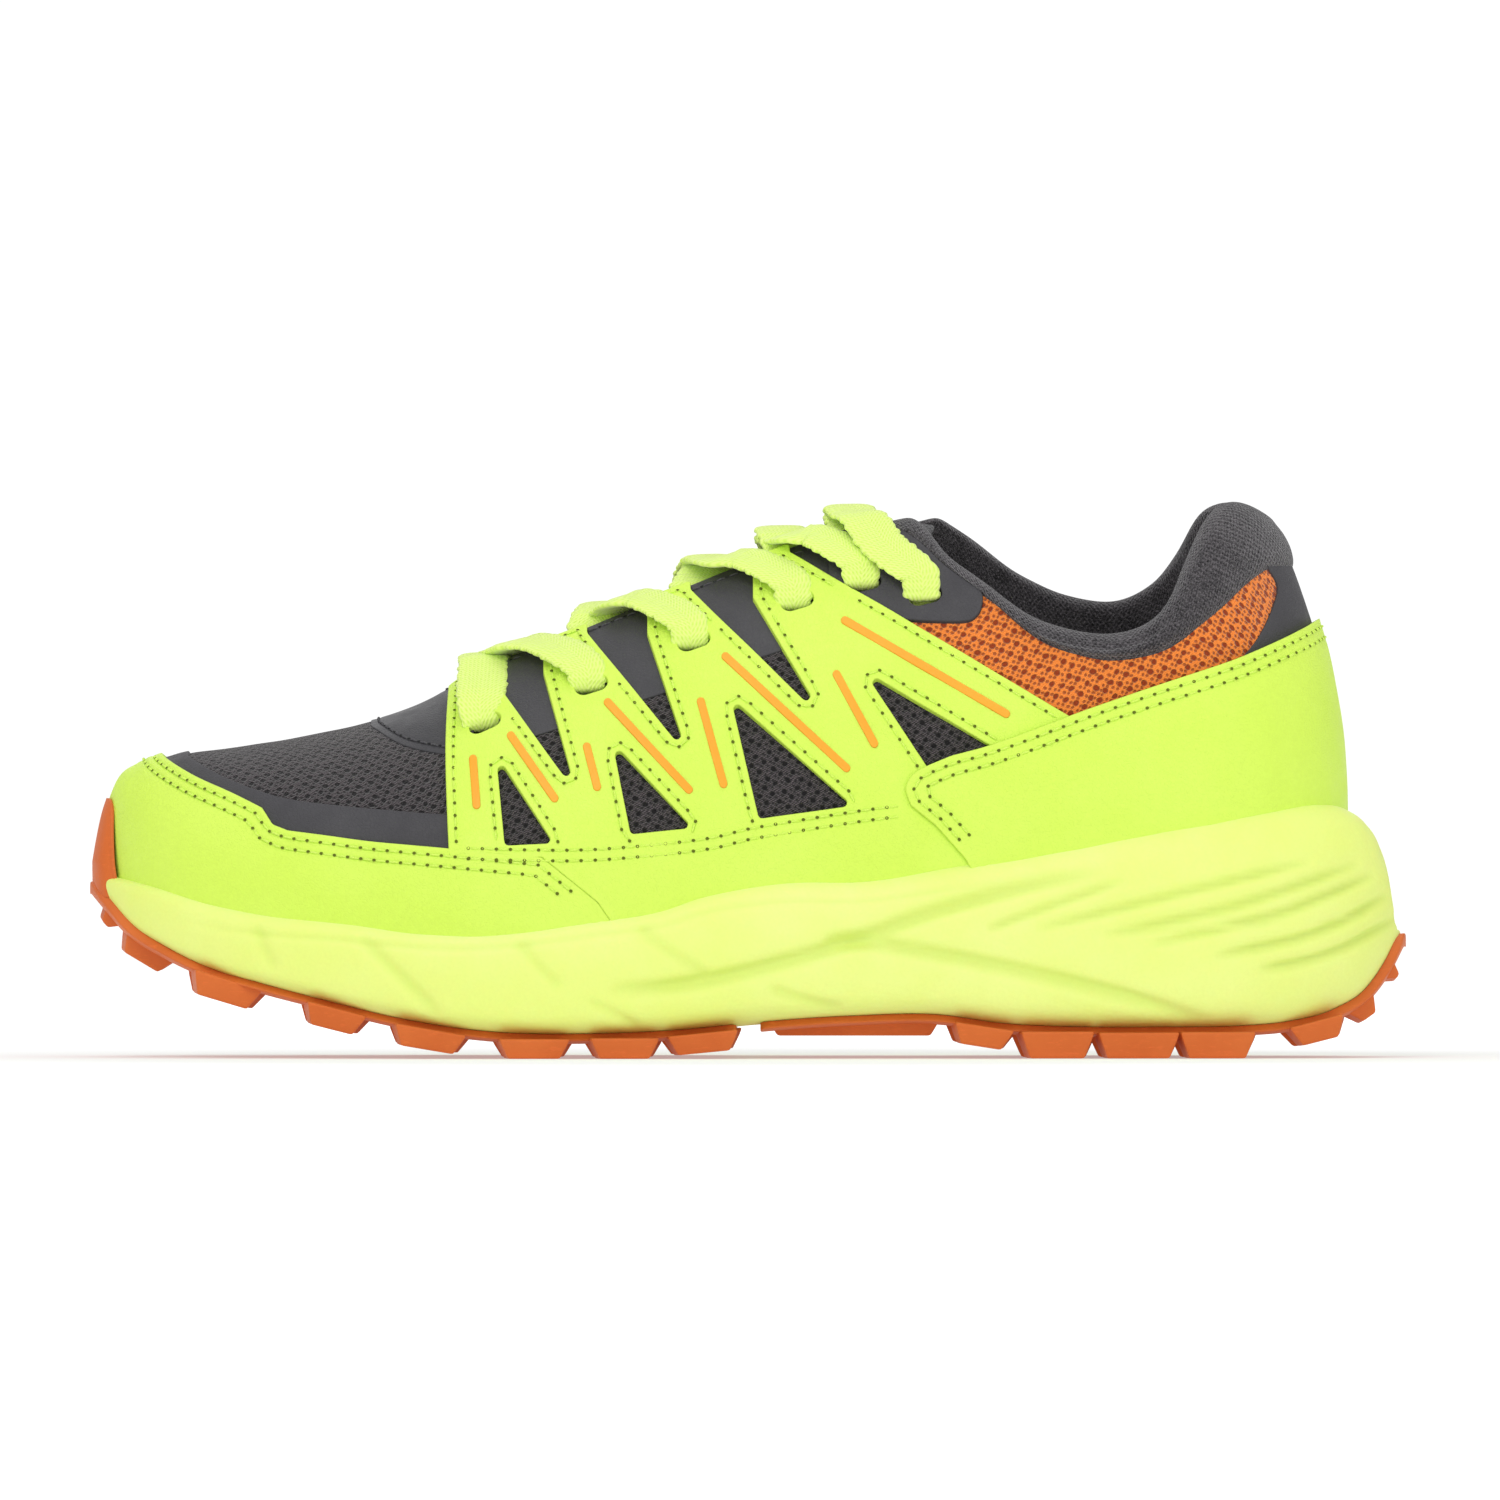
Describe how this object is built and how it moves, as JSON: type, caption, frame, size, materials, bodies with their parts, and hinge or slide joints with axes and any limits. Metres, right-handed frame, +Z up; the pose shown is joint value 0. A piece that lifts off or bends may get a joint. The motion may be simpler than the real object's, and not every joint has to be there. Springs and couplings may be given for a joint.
{
  "type": "trail running shoe",
  "caption": "Low-cut left running shoe with layered mesh and synthetic upper, padded collar and tongue, flat lace, thick foam midsole and lugged two-part rubber outsole.",
  "frame": {"origin": "on the ground under the middle of the shoe's overall length and breadth", "axes": "+X towards the heel, +Z up, so the lateral side of this left shoe faces -Y and the medial side faces +Y"},
  "size_m": [0.28, 0.1, 0.1194],
  "materials": {
    "outsole_rubber": "matt moulded lugs",
    "midsole_foam": "satin moulded foam",
    "fibre_board": "needled fibre board",
    "footbed": "knitted top cloth on foam",
    "yellow_overlay": "fine-grained synthetic with twin needle stitching",
    "charcoal_synthetic": "grained synthetic suede",
    "accent_film": "heat-bonded film",
    "charcoal_mesh": "engineered mesh with small round holes",
    "charcoal_film": "smooth film over mesh",
    "orange_mesh": "spacer mesh with round holes",
    "grey_lining": "knitted lining",
    "padding_foam": "open-cell foam",
    "tongue_fabric": "knitted mesh over foam",
    "lace": "flat tubular weave",
    "aglet": "clear film wrap"
  },
  "bodies": {
    "shoe": {"accent_bar_lateral_1": "accent_film", "accent_bar_lateral_2": "accent_film", "accent_bar_lateral_3": "accent_film", "accent_bar_lateral_4": "accent_film", "accent_bar_lateral_5": "accent_film", "accent_bar_lateral_6": "accent_film", "accent_bar_lateral_7": "accent_film", "accent_bar_lateral_8": "accent_film", "accent_bar_medial_1": "accent_film", "accent_bar_medial_2": "accent_film", "accent_bar_medial_3": "accent_film", "accent_bar_medial_4": "accent_film", "accent_bar_medial_5": "accent_film", "accent_bar_medial_6": "accent_film", "accent_bar_medial_7": "accent_film", "accent_bar_medial_8": "accent_film", "aglet_lateral": "aglet", "aglet_medial": "aglet", "collar_foam": "padding_foam", "collar_lining": "grey_lining", "collar_mesh_lateral": "orange_mesh", "collar_mesh_medial": "orange_mesh", "eyestay_lateral": "charcoal_film", "eyestay_medial": "charcoal_film", "heel_counter": "fibre_board", "heel_foxing": "yellow_overlay", "heel_tab": "charcoal_synthetic", "lace": "lace", "midsole": "midsole_foam", "outsole_forefoot": "outsole_rubber", "outsole_heel": "outsole_rubber", "quarter_lining_lateral": "grey_lining", "quarter_lining_medial": "grey_lining", "quarter_mesh_lateral": "charcoal_mesh", "quarter_mesh_medial": "charcoal_mesh", "quarter_overlay_lateral": "yellow_overlay", "quarter_overlay_medial": "yellow_overlay", "strobel_board": "fibre_board", "throat_saddle": "charcoal_synthetic", "toe_guard": "yellow_overlay", "toe_puff": "fibre_board", "toe_strip": "charcoal_synthetic", "top_eyelet_tab_lateral": "charcoal_synthetic", "top_eyelet_tab_medial": "charcoal_synthetic", "vamp_lining": "grey_lining", "vamp_mesh": "charcoal_mesh"},
    "tongue": {"tongue_face": "tongue_fabric", "tongue_foam": "padding_foam", "tongue_lining": "grey_lining"},
    "sockliner": {"sockliner": "footbed"}
  },
  "joints": [
    {"name": "tongue_press", "type": "hinge", "parent": "shoe", "child": "tongue", "pos_m": [-0.058, 0, 0.0745], "axis": [0, 1, 0], "range_deg": [0, 10], "stiffness_Nm_per_rad": 0.4},
    {"name": "sockliner_lift", "type": "hinge", "parent": "shoe", "child": "sockliner", "pos_m": [-0.1275, 0, 0.0345], "axis": [0, -1, 0], "range_deg": [0, 4]}
  ]
}
